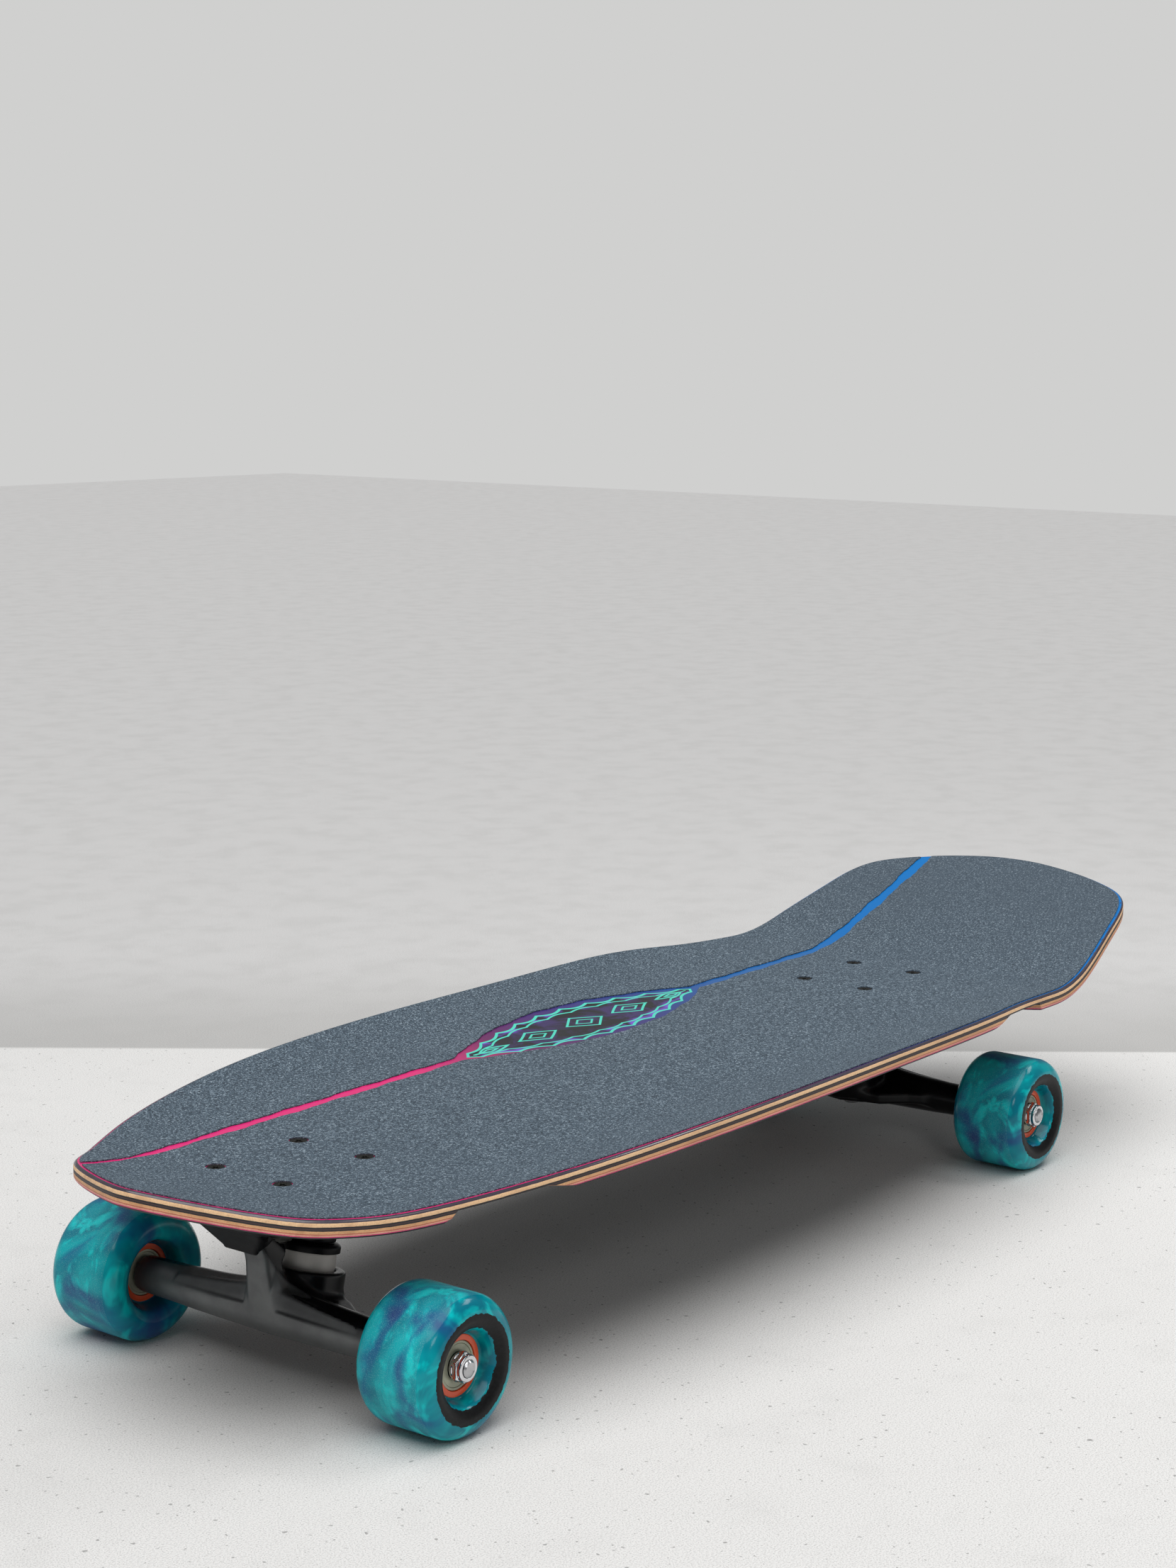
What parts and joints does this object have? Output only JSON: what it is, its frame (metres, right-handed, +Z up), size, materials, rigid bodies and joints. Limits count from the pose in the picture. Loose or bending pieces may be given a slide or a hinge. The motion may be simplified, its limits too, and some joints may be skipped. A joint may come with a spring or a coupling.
{
  "type": "cruiser skateboard",
  "caption": "Cruiser skateboard: a concave kick-tail deck with wheel wells and grip tape, on two sprung steering trucks with soft wheels on bearings.",
  "frame": {"origin": "on the ground, under the middle of the deck's length and width", "axes": "+X towards the nose, +Y towards the left of a rider facing the nose, +Z up"},
  "size_m": [0.7732, 0.2628, 0.1427],
  "materials": {
    "maple": "lacquered maple plies, some stained dark, pink and blue",
    "grip": "coarse abrasive grit, blue-grey, matt with a fine sparkle",
    "black_rubber": "matt",
    "black_paint": "satin black",
    "black_plastic": "satin",
    "black_steel": "black oxide",
    "gunmetal": "satin gunmetal",
    "steel": "bright zinc",
    "chrome": "plated",
    "bearing_steel": "olive-grey shields in a dark ring",
    "white_bushing": "white urethane",
    "orange_hub": "moulded orange",
    "urethane": "teal marbled with purple, gloss sides and a sanded tread"
  },
  "bodies": {
    "board": {"deck": "maple", "grip_tape_left": "grip", "grip_tape_right": "grip", "front_riser_pad": "black_rubber", "front_baseplate": "black_paint", "front_pivot_cup": "black_plastic", "front_kingpin": "steel", "front_kingpin_nut": "steel", "front_boardside_bushing": "white_bushing", "front_roadside_bushing": "black_rubber", "front_upper_cup_washer": "black_paint", "front_lower_cup_washer": "black_paint", "front_mounting_bolt_1": "black_steel", "front_mounting_bolt_2": "black_steel", "front_mounting_bolt_3": "black_steel", "front_mounting_bolt_4": "black_steel", "rear_riser_pad": "black_rubber", "rear_baseplate": "black_paint", "rear_pivot_cup": "black_plastic", "rear_kingpin": "steel", "rear_kingpin_nut": "steel", "rear_boardside_bushing": "white_bushing", "rear_roadside_bushing": "black_rubber", "rear_upper_cup_washer": "black_paint", "rear_lower_cup_washer": "black_paint", "rear_mounting_bolt_1": "black_steel", "rear_mounting_bolt_2": "black_steel", "rear_mounting_bolt_3": "black_steel", "rear_mounting_bolt_4": "black_steel"},
    "front_hanger_assembly": {"front_hanger": "gunmetal", "front_axle": "steel", "front_left_axle_nut": "chrome", "front_left_bearing_inner_set": "steel", "front_right_axle_nut": "chrome", "front_right_bearing_inner_set": "steel"},
    "rear_hanger_assembly": {"rear_hanger": "gunmetal", "rear_axle": "steel", "rear_left_axle_nut": "chrome", "rear_left_bearing_inner_set": "steel", "rear_right_axle_nut": "chrome", "rear_right_bearing_inner_set": "steel"},
    "front_left_wheel": {"front_left_wheel_tyre": "urethane", "front_left_wheel_core": "orange_hub", "front_left_outboard_bearing": "bearing_steel", "front_left_inboard_bearing": "bearing_steel"},
    "front_right_wheel": {"front_right_wheel_tyre": "urethane", "front_right_wheel_core": "orange_hub", "front_right_outboard_bearing": "bearing_steel", "front_right_inboard_bearing": "bearing_steel"},
    "rear_left_wheel": {"rear_left_wheel_tyre": "urethane", "rear_left_wheel_core": "orange_hub", "rear_left_outboard_bearing": "bearing_steel", "rear_left_inboard_bearing": "bearing_steel"},
    "rear_right_wheel": {"rear_right_wheel_tyre": "urethane", "rear_right_wheel_core": "orange_hub", "rear_right_outboard_bearing": "bearing_steel", "rear_right_inboard_bearing": "bearing_steel"}
  },
  "joints": [
    {"name": "front_steer", "type": "hinge", "parent": "board", "child": "front_hanger_assembly", "pos_m": [0.3089, 0, 0.07175], "axis": [0.7071, 0, 0.7071], "range_deg": [-12, 12], "stiffness_Nm_per_rad": 80, "deforming": ["front_boardside_bushing", "front_roadside_bushing"]},
    {"name": "rear_steer", "type": "hinge", "parent": "board", "child": "rear_hanger_assembly", "pos_m": [-0.2258, 0, 0.07175], "axis": [-0.7071, 0, 0.7071], "range_deg": [-12, 12], "stiffness_Nm_per_rad": 80, "deforming": ["rear_boardside_bushing", "rear_roadside_bushing"]},
    {"name": "front_left_wheel_spin", "type": "hinge", "parent": "front_hanger_assembly", "child": "front_left_wheel", "pos_m": [0.29465, 0.09575, 0.032], "axis": [0, 1, 0], "continuous": true},
    {"name": "front_right_wheel_spin", "type": "hinge", "parent": "front_hanger_assembly", "child": "front_right_wheel", "pos_m": [0.29465, -0.09575, 0.032], "axis": [0, 1, 0], "continuous": true},
    {"name": "rear_left_wheel_spin", "type": "hinge", "parent": "rear_hanger_assembly", "child": "rear_left_wheel", "pos_m": [-0.21155, 0.09575, 0.032], "axis": [0, 1, 0], "continuous": true},
    {"name": "rear_right_wheel_spin", "type": "hinge", "parent": "rear_hanger_assembly", "child": "rear_right_wheel", "pos_m": [-0.21155, -0.09575, 0.032], "axis": [0, 1, 0], "continuous": true}
  ]
}
